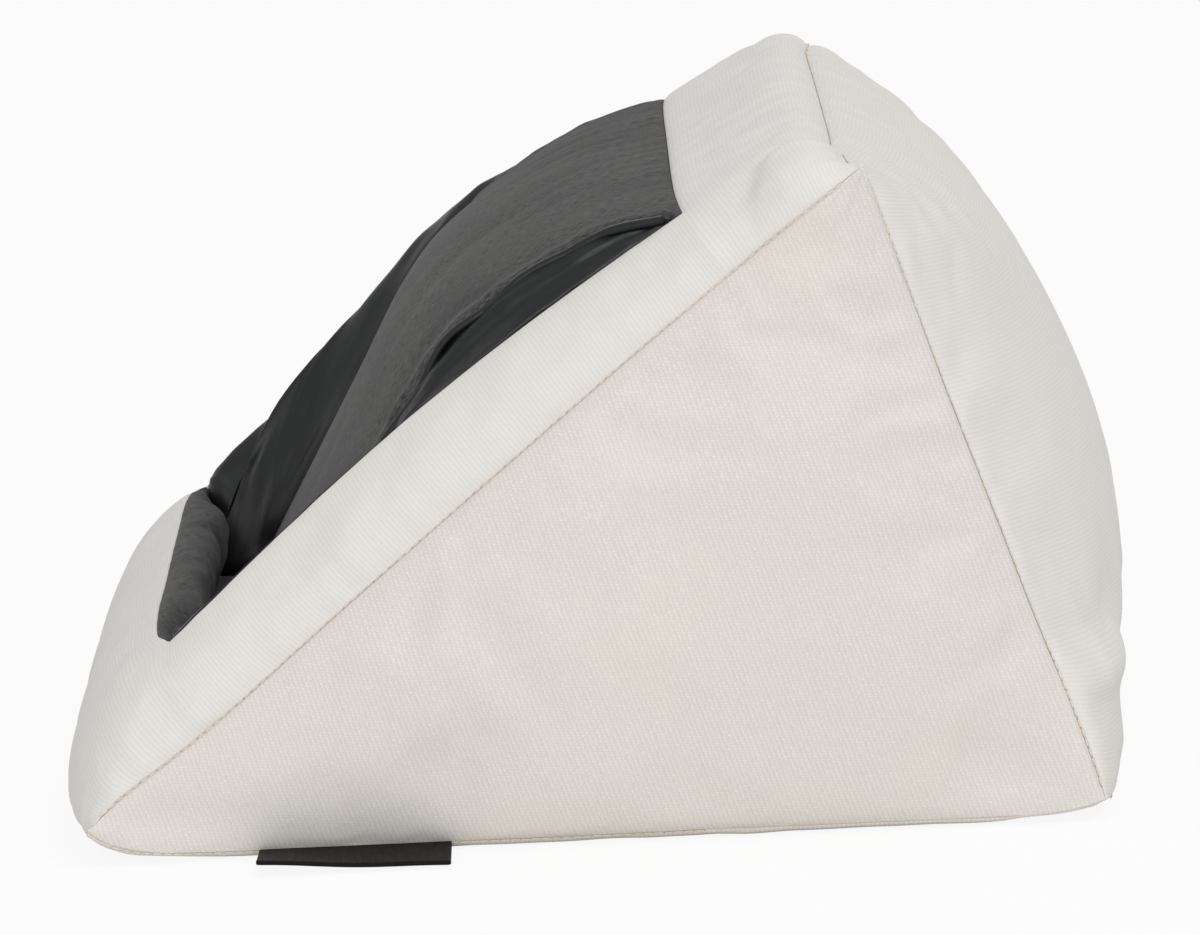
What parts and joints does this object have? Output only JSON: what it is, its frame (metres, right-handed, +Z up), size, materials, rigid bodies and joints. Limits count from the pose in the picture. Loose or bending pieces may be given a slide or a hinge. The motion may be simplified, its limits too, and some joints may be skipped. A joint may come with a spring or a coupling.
{
  "type": "tablet cushion stand",
  "caption": "Wedge-shaped bead cushion in ribbed cloth with a lined, sloping pocket that props up a tablet, a side label and a zip at the foot of the back.",
  "frame": {"origin": "middle of the flat base, on the plane it stands on", "axes": "+X along the width to the labelled side, -Y to the front where the pocket faces, +Z up"},
  "size_m": [0.3472, 0.2943, 0.1821],
  "materials": {
    "cover_cloth": "matte",
    "side_cloth": "matte",
    "base_cloth": "matte",
    "napped_lining": "matte",
    "smooth_lining": "satin",
    "bead_fill": "matte",
    "label_satin": "satin",
    "zip_tape": "matte",
    "zip_chain": "satin",
    "zip_metal": "satin"
  },
  "bodies": {
    "cushion": {"face_panel": "cover_cloth", "back_panel": "cover_cloth", "side_panel_left": "side_cloth", "side_panel_right": "side_cloth", "base_panel": "base_cloth", "pocket_backrest": "napped_lining", "pocket_lip_lining": "napped_lining", "pocket_gusset_left": "smooth_lining", "pocket_gusset_right": "smooth_lining", "bead_fill": "bead_fill", "side_label": "label_satin", "zip_tape_upper": "zip_tape", "zip_tape_lower": "zip_tape", "zip_chain_upper": "zip_chain", "zip_chain_lower": "zip_chain", "zip_stop_left": "zip_metal", "zip_stop_right": "zip_metal"},
    "slider": {"zip_slider": "zip_metal"},
    "pull": {"zip_pull": "zip_metal"}
  },
  "joints": [
    {"name": "zip_run", "type": "slide", "parent": "cushion", "child": "slider", "axis": [1, 0, 0], "range_m": [0, 0.125]},
    {"name": "pull_swing", "type": "hinge", "parent": "slider", "child": "pull", "pos_m": [-0.063, 0.1415, 0.0185], "axis": [0, 0, 1], "range_deg": [0, 170]}
  ]
}
